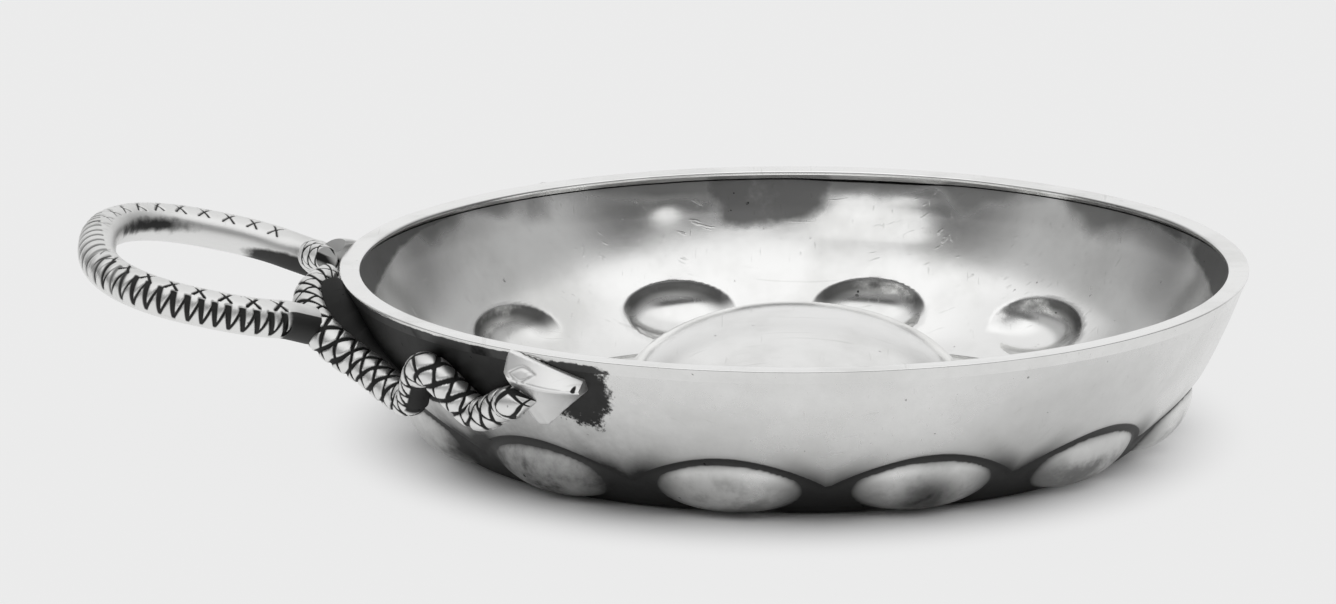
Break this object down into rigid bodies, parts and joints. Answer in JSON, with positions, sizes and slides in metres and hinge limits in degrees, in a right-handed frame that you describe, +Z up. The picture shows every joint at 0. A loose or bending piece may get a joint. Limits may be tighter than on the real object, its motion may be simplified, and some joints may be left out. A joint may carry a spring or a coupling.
{
  "type": "wine tasting cup",
  "caption": "Shallow silver wine tasting cup with a domed floor, oval bosses around its base and an engraved finger ring held by serpents.",
  "frame": {"origin": "middle of the part's bounding box at the height of the foot", "axes": "+Z up along the bowl's axis, -X towards the finger ring, -Y towards the side seen in the picture"},
  "size_m": [0.1222, 0.095, 0.0224],
  "materials": {
    "sheet_silver": "polished old silver sheet",
    "strip_silver": "polished silver, bright lip",
    "ring_silver": "engraved silver, dark in the cuts",
    "cast_silver": "cast and chased silver, dark between the scales"
  },
  "bodies": {
    "root": {"bowl": "sheet_silver", "rim_strip": "strip_silver", "finger_ring": "ring_silver", "serpent_front": "cast_silver", "serpent_rear": "cast_silver"}
  },
  "joints": []
}
